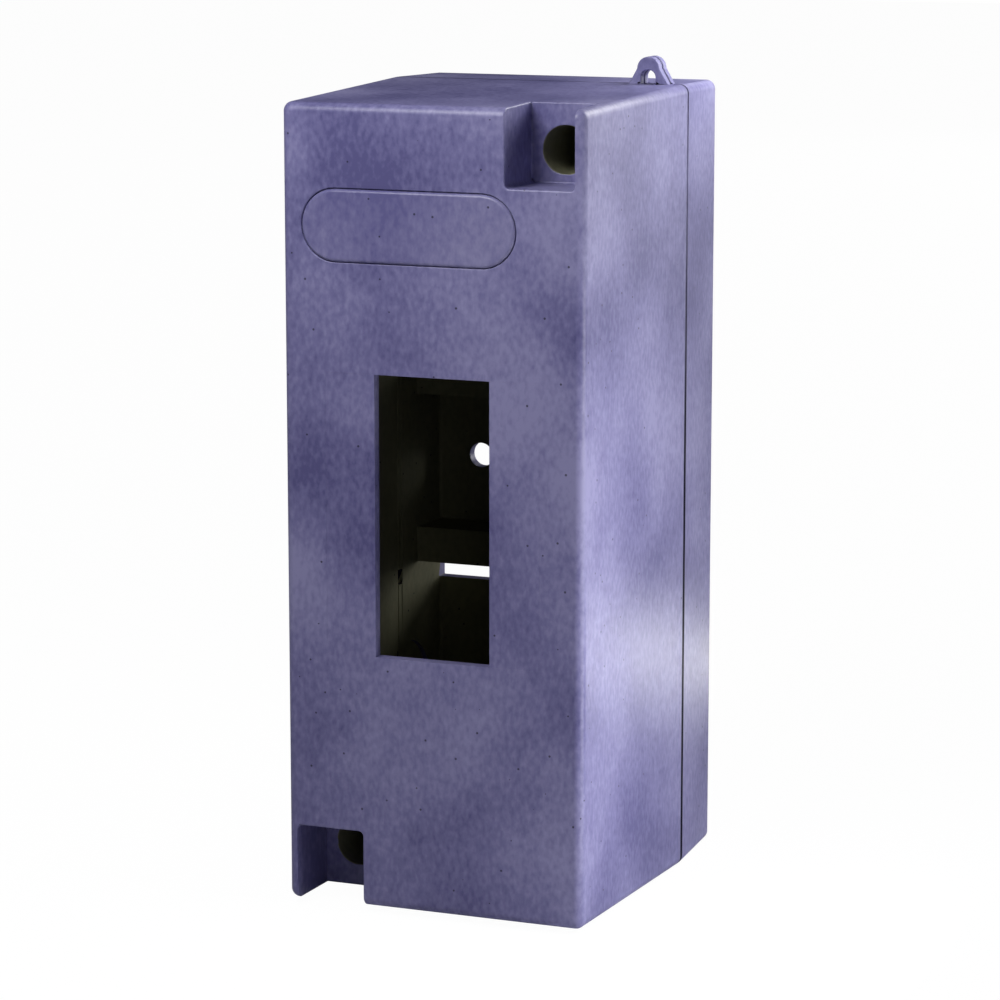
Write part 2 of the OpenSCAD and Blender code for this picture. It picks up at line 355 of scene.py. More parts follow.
    def _joint_shade_line(self, tree: bpy.types.NodeTree, at: bpy.types.NodeSocket) -> bpy.types.NodeSocket:
        """Painted shade along the joint of two shells, standing in for the shadow in the gap: a thin
        line at one depth, weaker near the top.

        Args:
            tree: The material's node tree.
            at: The coordinates.

        Returns:
            The dark share, zero away from the joint.
        """
        axes = add_node(tree, "ShaderNodeSeparateXYZ", {"Vector": at}).outputs
        away = calculate(tree, "ABSOLUTE", calculate(tree, "ADD", axes["Y"], self.joint_mm * MM))
        half = self.joint_half_mm * MM
        near = remap(tree, away, (half, self.joint_softness * half), (1.0, 0.0))
        low, high = self.joint_fade_mm
        fade = remap(tree, axes["Z"], (low * MM, high * MM), self.joint_dark)
        return calculate(tree, "MULTIPLY", near, fade)


@dataclass(frozen=True)
class TurnedMetal:
    """Metal turned on a lathe or plated after it: fine rings stacked along Y.

    The wave pattern repeats every 0.314 units, so with a divisor of 6 the rings come about
    1.9 times ring_mm apart.
    """

    name: str
    body: str
    roughness: float
    ring_mm: float
    ring_depth_mm: float = 0.004
    ring_divisor: float = 6
    ring_wobble: float = 0.6
    ring_strength: float = 0.4
    stain_mm: float = 1.2
    stain: float = 0.12

    def build(self) -> bpy.types.Material:
        """Makes the material.

        Returns:
            The material, whose patterns read object coordinates.
        """
        material, tree = blank_material(self.name)
        at = add_node(tree, "ShaderNodeTexCoord").outputs["Object"]
        rings = add_node(
            tree,
            "ShaderNodeTexWave",
            {
                "Vector": at,
                "Scale": per_metre(self.ring_mm) / self.ring_divisor,
                "Distortion": self.ring_wobble,
            },
            bands_direction="Y",
        ).outputs["Fac"]
        stain = noise(tree, at, self.stain_mm, 3.0)
        spread = self.stain / 2
        rough = remap(tree, stain, wanted=(self.roughness - spread, self.roughness + spread))
        bump = add_node(
            tree,
            "ShaderNodeBump",
            {"Height": rings, "Strength": self.ring_strength, "Distance": self.ring_depth_mm * MM},
        ).outputs["Normal"]
        shader = add_node(
            tree,
            "ShaderNodeBsdfPrincipled",
            {"Base Color": linear(self.body), "Metallic": 1.0, "Roughness": rough, "Normal": bump},
        )
        add_node(tree, "ShaderNodeOutputMaterial", {"Surface": shader.outputs[0]})
        return material


# ---------------------------------------------------------------------------------------------
# Mesh work
# ---------------------------------------------------------------------------------------------


@dataclass
class Surface:
    """Grids of points and the flat caps between them, collected into one closed mesh."""

    points: list[np.ndarray] = field(default_factory=list)
    faces: list[list[int]] = field(default_factory=list)
    count: int = 0

    def grid(self, rows: np.ndarray) -> None:
        """Adds a tube: a grid of rows, each row a closed loop, joined row to row by quads.

        Args:
            rows: Array of shape (rows, points round a row, 3).
        """
        m, n = rows.shape[:2]
        i, j = np.meshgrid(np.arange(m - 1), np.arange(n), indexing="ij")
        k = (j + 1) % n
        quads = np.stack([i * n + j, i * n + k, (i + 1) * n + k, (i + 1) * n + j], axis=-1)
        self.faces += (quads.reshape(-1, 4) + self.count).tolist()
        self.points.append(rows.reshape(-1, 3))
        self.count += m * n

    def capped(self, rows: np.ndarray) -> None:
        """Adds a tube whose first and last rows are closed by flat faces.

        Args:
            rows: Array of shape (rows, points round a row, 3).
        """
        m, n = rows.shape[:2]
        start = self.count
        self.grid(rows)
        self.faces.append(list(range(start, start + n)))
        self.faces.append(list(range(start + (m - 1) * n, start + m * n))[::-1])

    def build(self, name: str) -> bpy.types.Object:
        """Makes the object, with doubles merged and every face pointing outwards.

        Args:
            name: The piece's name.

        Returns:
            The object, linked to the scene.
        """
        mesh = bpy.data.meshes.new(name)
        mesh.from_pydata(np.concatenate(self.points), [], self.faces)
        work = bmesh.new()
        work.from_mesh(mesh)
        bmesh.ops.remove_doubles(work, verts=work.verts, dist=WELD)
        bmesh.ops.recalc_face_normals(work, faces=work.faces)
        work.to_mesh(mesh)
        work.free()
        return place(name, mesh)


def place(name: str, mesh: bpy.types.Mesh) -> bpy.types.Object:
    """Links a mesh to the scene as an object at the origin, smooth but for its sharp edges.

    Args:
        name: The piece's name.
        mesh: Its mesh, already in place.

    Returns:
        The object.
    """
    mesh.polygons.foreach_set("use_smooth", np.ones(len(mesh.polygons), dtype=bool))
    mesh.set_sharp_from_angle(angle=SMOOTH_ANGLE)
    piece = bpy.data.objects.new(name, mesh)
    bpy.context.scene.collection.objects.link(piece)
    return piece


def rounded_outline(width: float, height: float, radius: float, arc_points: int) -> np.ndarray:
    """A rectangle with round corners, centred, as one loop of points.

    Each corner is a quarter circle of arc_points points about its own centre, and the straight
    sides are the gaps between the quarters.

    Args:
        width: Size along X.
        height: Size along Z.
        radius: Corner radius.
        arc_points: Points on each corner.

    Returns:
        Array of shape (4 * arc_points, 2).
    """
    quarter = np.linspace(0, math.pi / 2, arc_points)
    turns = np.arange(4)[:, None] * math.pi / 2 + quarter[None, :]
    signs = np.array([[1, 1], [-1, 1], [-1, -1], [1, -1]])
    centres = signs * np.array([width / 2 - radius, height / 2 - radius])
    arcs = radius * np.stack([np.cos(turns), np.sin(turns)], axis=-1)
    return (centres[:, None, :] + arcs).reshape(-1, 2)


def stack_outlines(
    rings: Sequence[tuple[float, float]], outline: Callable[[float], np.ndarray], centre: Vector
) -> np.ndarray:
    """Carries an outline along Y while it shrinks: ring k is outline(inset k) at depth y k.

    Args:
        rings: Pairs of inset and depth, from the front to the back.
        outline: Gives the loop of X and Z at an inset.
        centre: The outline's centre; its Y isn't used.

    Returns:
        Array of shape (rings, points, 3).
    """
    rows = []
    for inset, depth in rings:
        loop = outline(inset)
        rows.append(
            np.column_stack([loop[:, 0] + centre.x, np.full(len(loop), depth), loop[:, 1] + centre.z])
        )
    return np.array(rows)


def edge_rings(
    front: float, back: float, radius: float, steps: int, back_radius: float
) -> list[tuple[float, float]]:
    """Insets and depths of a plate whose edges are quarter rounds, front and back.

    Args:
        front: Depth of the plate's front face, the lower Y.
        back: Depth of its back face.
        radius: Radius of the front edge.
        steps: Points on each quarter round.
        back_radius: Radius of the back edge.

    Returns:
        Pairs of inset and depth, from the front face's rim to the back face's rim.
    """
    turn = np.linspace(0, math.pi / 2, steps)
    rings = [(radius * (1 - math.sin(t)), front + radius * (1 - math.cos(t))) for t in turn]
    rings += [
        (back_radius * (1 - math.cos(t)), back - back_radius * (1 - math.sin(t))) for t in turn
    ]
    return rings


def lathe(
    profile: np.ndarray,
    centre: Vector,
    segments: int,
    radius_of: Callable[[np.ndarray, np.ndarray, np.ndarray], np.ndarray] | None = None,
) -> np.ndarray:
    """Turns a profile round an axis along Y: each profile point becomes a ring.

    Args:
        profile: Array of shape (points, 2): radius, and place along Y.
        centre: A point on the axis; its Y isn't used.
        segments: Points round each ring.
        radius_of: Optional change of the radius: a function of radius, place and angle arrays.

    Returns:
        Array of shape (profile points, segments, 3).
    """
    angle = np.linspace(0, 2 * math.pi, segments, endpoint=False)[None, :]
    radius = np.repeat(profile[:, :1], segments, axis=1)
    along = np.repeat(profile[:, 1:], segments, axis=1)
    if radius_of is not None:
        radius = radius_of(radius, along, angle)
    return np.stack(
        [centre.x + radius * np.cos(angle), along, centre.z + radius * np.sin(angle)], axis=-1
    )


def merged_copy(node: str, name: str, flat_front: float | None = None) -> bpy.types.Object:
    """Copies a frame node's mesh, with its loose triangles welded and its imported shading dropped.

    Args:
        node: The frame node.
        name: The new piece's name.
        flat_front: Depth of a flat front whose triangles become large faces, which keeps the
            rounds on its edges clean.

    Returns:
        The new object.
    """
    work = bmesh.new()
    work.from_mesh(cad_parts[node].data)
    bmesh.ops.remove_doubles(work, verts=work.verts, dist=WELD)
    if flat_front is not None:
        flat = [e for e in work.edges if all(abs(v.co.y - flat_front) < WELD for v in e.verts)]
        bmesh.ops.dissolve_limit(work, angle_limit=FLAT_ANGLE, verts=[], edges=flat)
    mesh = bpy.data.meshes.new(name)
    work.to_mesh(mesh)
    work.free()
    imported = mesh.attributes.get("custom_normal")
    if imported:
        mesh.attributes.remove(imported)
    return place(name, mesh)


def face_centres(piece: bpy.types.Object) -> np.ndarray:
    """The centres of a piece's faces.

    Args:
        piece: The piece.

    Returns:
        Array of shape (faces, 3).
    """
    centres = np.zeros(len(piece.data.polygons) * 3)
    piece.data.polygons.foreach_get("center", centres)
    return centres.reshape(-1, 3)


def dress(
    piece: bpy.types.Object,
    body: str,
    nodes: Sequence[str],
    materials: Sequence[bpy.types.Material],
    inside: np.ndarray | None = None,
) -> None:
    """Gives a piece its materials, tells the frame what it rides on, and hides the frame nodes that it
    stands for.

    Args:
        piece: The piece.
        body: The body that it moves with.
        nodes: The frame nodes that it stands for.
        materials: One material, or the outside one and the inside one.
        inside: Which faces take the inside one.
    """
    piece.data.materials.clear()
    for material in materials:
        piece.data.materials.append(material)
    if inside is not None:
        roles = np.where(inside, Role.INSIDE.value, Role.OUTSIDE.value)
        piece.data.polygons.foreach_set("material_index", roles.astype(np.int32))
    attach(piece, body)
    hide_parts(*nodes)
    LOG.info("%s: %d faces, rides on %s", piece.name, len(piece.data.polygons), body)


def soften(piece: bpy.types.Object, width: float, segments: int) -> None:
    """Rounds the weighted edges of a piece and evens out the shading of its flat faces.

    Args:
        piece: The piece, whose edges carry bevel weights.
        width: The round's width where the weight is one.
        segments: Faces across each round.
    """
    bevel = piece.modifiers.new("edge_rounds", "BEVEL")
    bevel.width = width
    bevel.segments = segments
    bevel.limit_method = "WEIGHT"
    bevel.use_clamp_overlap = False
    bevel.miter_outer = "MITER_SHARP"
    bevel.harden_normals = False
    normals = piece.modifiers.new("even_shading", "WEIGHTED_NORMAL")
    normals.keep_sharp = True


# ---------------------------------------------------------------------------------------------
# The enclosure's parts
# ---------------------------------------------------------------------------------------------


@dataclass
class Envelope:
    """The drafted outer form that both shells share, read from the frame."""

    wall: float = 1.6 * MM
    edge_radius: float = 1.5 * MM
    front: float = 0.0
    rim: float = 0.0
    half: np.ndarray = field(default_factory=lambda: np.zeros(2))
    front_half: np.ndarray = field(default_factory=lambda: np.zeros(2))
    back_half: np.ndarray = field(default_factory=lambda: np.zeros(2))

    def __post_init__(self) -> None:
        """Reads the depths and the half sizes at the front, the rims and the back."""
        low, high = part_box("front_cover")
        self.front, self.rim = low.y, high.y
        self.half = np.array([high.x, -low.z])
        cover, tray = self._points("front_cover"), self._points("base_tray")
        face = cover[cover[:, 1] < self.front + self.edge_radius + WELD]
        back = tray[tray[:, 1] > -self.edge_radius - WELD]
        self.front_half = np.abs(face).max(0)[[0, 2]]
        self.back_half = np.abs(back).max(0)[[0, 2]]

    @staticmethod
    def _points(node: str) -> np.ndarray:
        """The corner points of a frame node.

        Args:
            node: The node's name.

        Returns:
            Array of shape (points, 3).
        """
        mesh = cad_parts[node].data
        points = np.zeros(len(mesh.vertices) * 3)
        mesh.vertices.foreach_get("co", points)
        return points.reshape(-1, 3)

    def half_at(self, depth: np.ndarray) -> np.ndarray:
        """Half sizes in X and Z at some depths: straight from the rims to the front, and to the back.

        Args:
            depth: Places along Y.

        Returns:
            Array of shape (depths, 2).
        """
        ahead = np.clip((self.rim - depth) / (self.rim - self.front), 0, 1)[:, None]
        behind = np.clip((depth - self.rim) / -self.rim, 0, 1)[:, None]
        towards_front = self.half + (self.front_half - self.half) * ahead
        towards_back = self.half + (self.back_half - self.half) * behind
        return np.where(ahead > 0, towards_front, towards_back)

    def inner(self, points: np.ndarray, share: float) -> np.ndarray:
        """Which points lie deeper in the walls than a share of their thickness.

        Args:
            points: Array of shape (points, 3).
            share: The share of the wall's thickness.

        Returns:
            One truth value a point.
        """
        room = self.half_at(points[:, 1]) - share * self.wall
        return np.all(np.abs(points[:, [0, 2]]) < room, axis=1)


@dataclass
class ShellPair:
    """The front cover and the base tray: merged copies with small moulded rounds on their edges."""

    envelope: Envelope
    outside: bpy.types.Material
    inside: bpy.types.Material
    round_width: float = 0.4 * MM
    round_segments: int = 3
    sharp_angle: float = math.radians(33)
    pocket_round: float = 0.6
    hairline: float = 0.07
    label_round: float = 0.3
    lug_round: float = 0.4
    rim_round: float = 0.3
    knock_radius: float = 8.75 * MM
    knock_margin: float = 0.15 * MM
    front_wall: float = 2.0 * MM
    back_wall: float = 2.2 * MM
    buried_share: float = 0.8
    pocket_depth: float = 11.35 * MM
    pocket_half_width: float = 5.9 * MM
    pocket_half_height: float = 5.3 * MM
    pocket_slack: float = 0.1 * MM
    bore_radius: float = 3.9 * MM
    bore_end: float = -18 * MM
    pocket_zone: float = 12 * MM
    rim_zone: float = 2.2 * MM
    lug_margin: float = 0.05 * MM
    side_walls: float = 1.1
    knock_walls: float = 2.5
    face_walls: float = 1.2
    face_half: float = 18.5 * MM
    label_span: tuple[float, float] = (38 * MM, 51.2 * MM)
    window_half: float = 24 * MM

    def build(self) -> None:
        """Builds both shells."""
        self._shell("front_cover", "cover", "front_cover_shell")
        self._shell("base_tray", "base", "base_tray_shell")

    def _shell(self, node: str, body: str, name: str) -> None:
        """Builds one shell.

        Args:
            node: The frame node.
            body: The body that it rides on.
            name: The new piece's name.
        """
        piece = merged_copy(node, name, self.envelope.front)
        self._weigh_edges(piece)
        centres = face_centres(piece)
        dress(piece, body, [node], [self.outside, self.inside], self._inside(centres))
        soften(piece, self.round_width, self.round_segments)

    def _inside(self, centres: np.ndarray) -> np.ndarray:
        """Which faces take the olive painted-shade finish: the shells' insides and the screw tubes'
        bores.

        Args:
            centres: The faces' centres.

        Returns:
            One truth value a face.
        """
        x, y, z = centres.T
        deep = self.envelope.inner(centres, self.buried_share)
        deep &= y > self.envelope.front + self.buried_share * self.front_wall
        deep &= y < -self.buried_share * self.back_wall
        pocket_back = self.envelope.front + self.pocket_depth
        for end in End:
            low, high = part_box(f"{end.name.lower()}_cover_screw")
            axis = (low + high) / 2
            away = np.hypot(x - axis.x, z - axis.z)
            in_bore = (away < self.bore_radius) & (y < self.bore_end) & (y > pocket_back)
            in_pocket = (
                (y < pocket_back + self.pocket_slack)
                & (end.value * x > end.value * axis.x - self.pocket_half_width)
                & (end.value * z > end.value * axis.z - self.pocket_half_height)
            )
            deep = (deep & ~in_pocket) | in_bore
        return deep

    def _weigh_edges(self, piece: bpy.types.Object) -> None:
        """Gives each sharp edge its share of the full round, by where it lies.

        Args:
            piece: A shell.
        """
        work = bmesh.new()
        work.from_mesh(piece.data)
        layer = work.edges.layers.float.new("bevel_weight_edge")
        for edge in work.edges:
            if len(edge.link_faces) == 2 and edge.calc_face_angle(0) > self.sharp_angle:
                edge[layer] = self._weight((edge.verts[0].co + edge.verts[1].co) / 2)
        work.to_mesh(piece.data)
        work.free()

    def _weight(self, middle: Vector) -> float:
        """The round's share at a place.

        Args:
            middle: The edge's middle.

        Returns:
            Zero for no round, one for the full width.
        """
        env = self.envelope
        in_pocket_zone = middle.y < env.front + self.pocket_zone
        if in_pocket_zone and abs(middle.x) > env.front_half[0] - self.side_walls * env.wall:
            return 0.0
        knock_low, knock_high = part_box("base_knockout_right_upper")
        knock_z = (knock_low.z + knock_high.z) / 2
        knock_y = knock_high.y - self.knock_radius
        away = math.hypot(middle.y - knock_y, abs(middle.z) - knock_z)
        if away < self.knock_radius + self.knock_margin:
            if abs(middle.x) > env.half[0] - self.knock_walls * env.wall:
                return 0.0
        if middle.z > env.half[1] + self.lug_margin:
            return self.lug_round
        if abs(middle.y - env.rim) < self.rim_zone:
            return self.rim_round
        if middle.y < env.front + self.face_walls * self.front_wall and abs(middle.x) < self.face_half:
            if self.label_span[0] < middle.z < self.label_span[1]:
                return self.label_round
            if abs(middle.z) < self.window_half:
                return self.hairline
        if in_pocket_zone:
            return self.pocket_round
        return self.rim_round


@dataclass
class KnockOuts:
    """The eight tear-out halves, flush with the walls: copies whose inner faces take the olive painted
    shade.
    """

    outside: bpy.types.Material
    inside: bpy.types.Material
    facing: float = 0.5

    def build(self) -> None:
        """Builds every half, on the base and on the cover."""
        for body in ("base", "cover"):
            for side in Side:
                for end in End:
                    self._half(body, side, end)

    def _half(self, body: str, side: Side, end: End) -> None:
        """Builds one half.

        Args:
            body: The body that it rides on.
            side: The side that it is on.
            end: The end that it is nearest.
        """
        where = f"{side.name.lower()}_{end.name.lower()}"
        node = f"{body}_knockout_{where}"
        piece = merged_copy(node, f"{body}_tear_out_{where}")
        normals = np.zeros(len(piece.data.polygons) * 3)
        piece.data.polygons.foreach_get("normal", normals)
        # faces that look into the box take the olive painted shade
        inward = -side.value * normals.reshape(-1, 3)[:, 0] > self.facing
        dress(piece, body, [node], [self.outside, self.inside], inward)


@dataclass
class LabelPlate:
    """The blank label plate: a stadium with a soft round rim, standing just proud of its seat."""

    finish: bpy.types.Material
    rim_radius: float = 0.6 * MM
    fullness: float = 0.17 * MM
    back_radius: float = 0.1 * MM
    rim_steps: int = 7
    end_points: int = 28
    thickness: float = 1.3 * MM
    peg_radius: float = 1.2 * MM
    peg_pitch: float = 22 * MM
    peg_chamfer: float = 0.3 * MM
    peg_overlap: float = 0.2 * MM
    peg_segments: int = 32

    def build(self) -> None:
        """Builds the plate with its two pegs."""
        low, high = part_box("label_plate")
        centre = (low + high) / 2
        width, height = high.x - low.x + 2 * self.fullness, high.z - low.z + 2 * self.fullness
        seat = low.y + self.thickness
        surface = Surface()
        surface.capped(
            stack_outlines(
                edge_rings(low.y, seat, self.rim_radius, self.rim_steps, self.back_radius),
                lambda inset: rounded_outline(
                    width - 2 * inset, height - 2 * inset, height / 2 - inset - WELD, self.end_points
                ),
                centre,
            )
        )
        for side in Side:
            axis = Vector((centre.x + side.value * self.peg_pitch / 2, 0, centre.z))
            profile = np.array(
                [
                    [self.peg_radius, seat - self.peg_overlap],
                    [self.peg_radius, high.y - self.peg_chamfer],
                    [self.peg_radius - self.peg_chamfer, high.y],
                ]
            )
            surface.capped(lathe(profile, axis, self.peg_segments))
        piece = surface.build("label_plate_moulding")
        dress(piece, "cover", ["label_plate"], [self.finish])
        piece.modifiers.new("even_shading", "WEIGHTED_NORMAL").keep_sharp = True


@dataclass
class WindowStrips:
    """The two tear-out strips beside the window, with a hairline chamfer where they snap off."""

    outside: bpy.types.Material
    inside: bpy.types.Material
    edge_radius: float = 0.04 * MM
    steps: int = 3
    corner_radius: float = 0.02 * MM
    corner_points: int = 3
    back_band: float = 0.2 * MM

    def build(self) -> None:
        """Builds both strips."""
        for side in Side:
            node = f"window_strip_{side.name.lower()}"
            low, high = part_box(node)
            width, height = high.x - low.x, high.z - low.z
            surface = Surface()
            surface.capped(
                stack_outlines(
                    edge_rings(low.y, high.y, self.edge_radius, self.steps, self.edge_radius),
                    lambda inset: rounded_outline(
                        width - 2 * inset, height - 2 * inset, self.corner_radius, self.corner_points
                    ),
                    (low + high) / 2,
                )
            )
            piece = surface.build(f"window_tear_out_{side.name.lower()}")
            # the strip's back band takes the olive painted shade
            behind = face_centres(piece)[:, 1] > high.y - self.back_band
            dress(piece, "cover", [node], [self.outside, self.inside], behind)
            piece.modifiers.new("even_shading", "WEIGHTED_NORMAL").keep_sharp = True


@dataclass
class CoverScrew:
    """One cover screw with its washer and its threaded insert."""

    end: End
    steel: bpy.types.Material
    nylon: bpy.types.Material
    brass: bpy.types.Material
    thread_radius: float = 2.0 * MM
    thread_depth: float = 0.4 * MM
    pitch: float = 0.7 * MM
    head_height: float = 2.4 * MM
    recess_half_length: float = 2.0 * MM
    recess_half_width: float = 0.45 * MM
    recess_depth: float = 1.3 * MM
    dome: float = 0.55 * MM
    clearance: float = 0.05 * MM
    hair: float = 0.02 * MM
    segments: int = 72
    knurls: int = 24
    knurl_depth: float = 0.18 * MM
    recess_edge: float = 0.12 * MM
    recess_taper: float = 0.45
    head_edge: float = 0.3 * MM
    edge_points: int = 6
    face_rings: int = 44
    thread_start: float = 0.3 * MM
    thread_rings: int = 190
    tip_step: float = 0.1 * MM
    washer_edge: float = 0.15 * MM
    washer_edge_points: int = 5
    insert_chamfer: float = 0.25 * MM
    waist_depth: float = 0.35 * MM

    def build(self) -> None:
        """Builds the three pieces."""
        word = self.end.name.lower()
        low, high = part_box(f"{word}_cover_screw")
        axis = (low + high) / 2
        self._screw(word, axis, low.y, high.y, (high.x - low.x) / 2)
        self._washer(word, axis)
        self._insert(word, axis)

    def _head_top(self, radius: np.ndarray, angle: np.ndarray, rim: float) -> np.ndarray:
        """Depth of the head's face below its crown.

        A shallow dome that falls with the radius squared, less a cross recess: two bars at right
        angles, each a straight slope from the full depth inside the bar to nothing at its sides. The
        recess gets shallower with the radius squared.

        Args:
            radius: Distance from the axis.
            angle: Angle round it.
            rim: The head's radius.

        Returns:
            The depth, in the shape of radius and angle together.
        """
        u, w = radius * np.cos(angle), radius * np.sin(angle)
        def bar(along: np.ndarray, across: np.ndarray) -> np.ndarray:
            """One where a point lies in a bar, falling to zero over a narrow band at its sides."""
            lengthways = np.clip((self.recess_half_length - np.abs(along)) / self.recess_edge, 0, 1)
            sideways = np.clip((self.recess_half_width - np.abs(across)) / self.recess_edge, 0, 1)
            return lengthways * sideways

        cross = np.maximum(bar(u, w), bar(w, u))
        taper = 1 - self.recess_taper * (radius / self.recess_half_length) ** 2
        return self.dome * (radius / rim) ** 2 + cross * self.recess_depth * np.clip(taper, 0, 1)

    def _screw(self, word: str, axis: Vector, front: float, tip: float, head_radius: float) -> None:
        """Builds the screw: a domed pan head with a cross recess, and a threaded shank.

        Args:
            word: The end's name.
            axis: A point on the screw's axis.
            front: The crown's depth.
            tip: The tip's depth.
            head_radius: The head's radius.
        """
        under = front + self.head_height
        angle = np.linspace(0, 2 * math.pi, self.segments, endpoint=False)[None, :]
        face_radius = np.linspace(0, head_radius - self.head_edge, self.face_rings)[:, None]
        depth = front + self._head_top(face_radius, angle, head_radius)
        flat = np.repeat(face_radius, self.segments, axis=1)
        face = np.stack(
            [axis.x + flat * np.cos(angle), depth, axis.z + flat * np.sin(angle)], axis=-1
        )
        turn = np.linspace(0, math.pi / 2, self.edge_points)[1:]
        shoulder = front + self.dome
        side = np.column_stack(
            [
                head_radius - self.head_edge * (1 - np.sin(turn)),
                shoulder + self.head_edge * (1 - np.cos(turn)),
            ]
        )
        rows = np.linspace(under + self.thread_start, tip - self.pitch, self.thread_rings)
        shank = np.column_stack([np.full(len(rows), self.thread_radius), rows])
        root = self.thread_radius - self.thread_depth
        ending = np.array([[root - self.tip_step, tip], [0, tip]])
        neck = np.array([[head_radius, under], [root, under]])
        body = lathe(np.concatenate([side, neck, shank, ending]), axis, self.segments, self._threaded)
        surface = Surface()
        surface.grid(np.concatenate([face, body]))
        piece = surface.build(f"{word}_screw_turned")
        dress(piece, f"{word}_screw", [f"{word}_cover_screw"], [self.steel])

    def _threaded(self, radius: np.ndarray, along: np.ndarray, angle: np.ndarray) -> np.ndarray:
        """Cuts a right-hand thread into the shank: the radius is a triangle wave of turn plus travel.

        Args:
            radius: The radius before the cut.
            along: Place along Y.
            angle: Angle round the axis.

        Returns:
            The radius after it; only points at the thread's own radius change.
        """
        phase = (along / self.pitch + angle / (2 * math.pi)) % 1
        groove = self.thread_depth * (1 - np.abs(2 * phase - 1))
        on_thread = np.isclose(radius, self.thread_radius, atol=WELD)
        return np.where(on_thread, radius - groove, radius)

    def _washer(self, word: str, axis: Vector) -> None:
        """Builds the washer: a flat ring with rounded edges, as a closed profile turned round Y.

        It is thinner than its place by a hair on each face, so the turning head doesn't graze it.

        Args:
            word: The end's name.
            axis: A point on the screw's axis.
        """
        low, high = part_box(f"{word}_screw_washer")
        outer, inner = (high.x - low.x) / 2, self.thread_radius + self.clearance
        thickness = high.y - low.y - 2 * self.hair
        loop = rounded_outline(outer - inner, thickness, self.washer_edge, self.washer_edge_points)
        profile = loop + np.array([(outer + inner) / 2, (low.y + high.y) / 2])
        surface = Surface()
        surface.grid(lathe(np.concatenate([profile, profile[:1]]), axis, self.segments))
        piece = surface.build(f"{word}_washer_ring")
        dress(piece, f"{word}_washer", [f"{word}_screw_washer"], [self.nylon])

    def _insert(self, word: str, axis: Vector) -> None:
        """Builds the insert: a brass sleeve with two knurled bands and a plain neck between them.

        Args:
            word: The end's name.
            axis: A point on the screw's axis.
        """
        low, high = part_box(f"{word}_threaded_insert")
        outer, inner = (high.x - low.x) / 2, self.thread_radius + self.clearance
        length, chamfer, waist = high.y - low.y, self.insert_chamfer, outer - self.waist_depth
        outline = np.array(
            [
                [inner + chamfer, low.y], [outer - chamfer, low.y], [outer, low.y + chamfer],
                [outer, low.y + 0.4 * length], [waist, low.y + 0.45 * length],
                [waist, low.y + 0.55 * length], [outer, low.y + 0.6 * length],
                [outer, high.y - chamfer], [outer - chamfer, high.y],
                [inner + chamfer, high.y], [inner, high.y - chamfer], [inner, low.y + chamfer],
                [inner + chamfer, low.y],
            ]
        )

        def knurled(radius: np.ndarray, along: np.ndarray, angle: np.ndarray) -> np.ndarray:
            """Grooves the outer bands: the radius dips with the cosine of a multiple of the angle."""
            dip = self.knurl_depth * (0.5 + 0.5 * np.cos(self.knurls * angle))
            return np.where(np.isclose(radius, outer, atol=WELD), radius - dip, radius)

        surface = Surface()
        surface.grid(lathe(outline, axis, 4 * self.knurls, knurled))
        piece = surface.build(f"{word}_insert_sleeve")
        dress(piece, "base", [f"{word}_threaded_insert"], [self.brass])


# ---------------------------------------------------------------------------------------------
# Studio
# ---------------------------------------------------------------------------------------------


@dataclass(frozen=True)
class SoftLight:
    """A soft rectangular light that the camera doesn't see, in metres, watts and degrees."""

    name: str
    position: tuple[float, float, float]
    aim: tuple[float, float, float]
    size: tuple[float, float]
    power: float
    spread: float = 180

    def build(self) -> None:
        """Adds the light to the scene, facing its aim."""
        data = bpy.data.lights.new(self.name, "AREA")
        data.shape = "RECTANGLE"
        data.size, data.size_y = self.size
        data.energy = self.power
        data.spread = math.radians(self.spread)
        light = bpy.data.objects.new(self.name, data)
        bpy.context.scene.collection.objects.link(light)
        light.location = self.position
        facing = Vector(self.aim) - Vector(self.position)
        light.rotation_euler = facing.to_track_quat("-Z", "Y").to_euler()
        light.visible_camera = False


LIGHTS = (
    SoftLight("backdrop_right", (0.85, 1.15, 0.1), (0.025, -0.03, 0.0), (0.6, 1.0), 9),
    SoftLight("backdrop_left", (-0.15, 1.45, 0.33), (0.0, -0.03, 0.065), (0.35, 0.5), 0.8),
    SoftLight("right_key", (1.0, 0.05, 0.12), (0.025, -0.03, 0.0), (0.4, 0.5), 2.4),
    SoftLight("near_right", (0.08, -0.061, -0.036), (0.026, -0.061, -0.036), (0.03, 0.14), 0.056),
    SoftLight("near_top", (0.048, -0.004, 0.092), (0.016, -0.03, 0.062), (0.03, 0.03), 0.027),
    SoftLight(
        "low_kicker", (0.075, 0.098, -0.0575), (0.0255, -0.04, -0.026), (0.05, 0.01), 0.00056, 30
    ),
    SoftLight("front_right", (0.45, -0.8, 0.15), (0.0, -0.06, 0.0), (0.3, 0.3), 0.3),
    SoftLight("front_fill", (-0.035, -0.17, 0.16), (-0.016, -0.06, 0.05), (0.08, 0.08), 0.23),
    SoftLight("overhead", (-0.3, 0.2, 1.1), (0.0, 0.0, 0.0), (0.6, 0.6), 0.5),
)


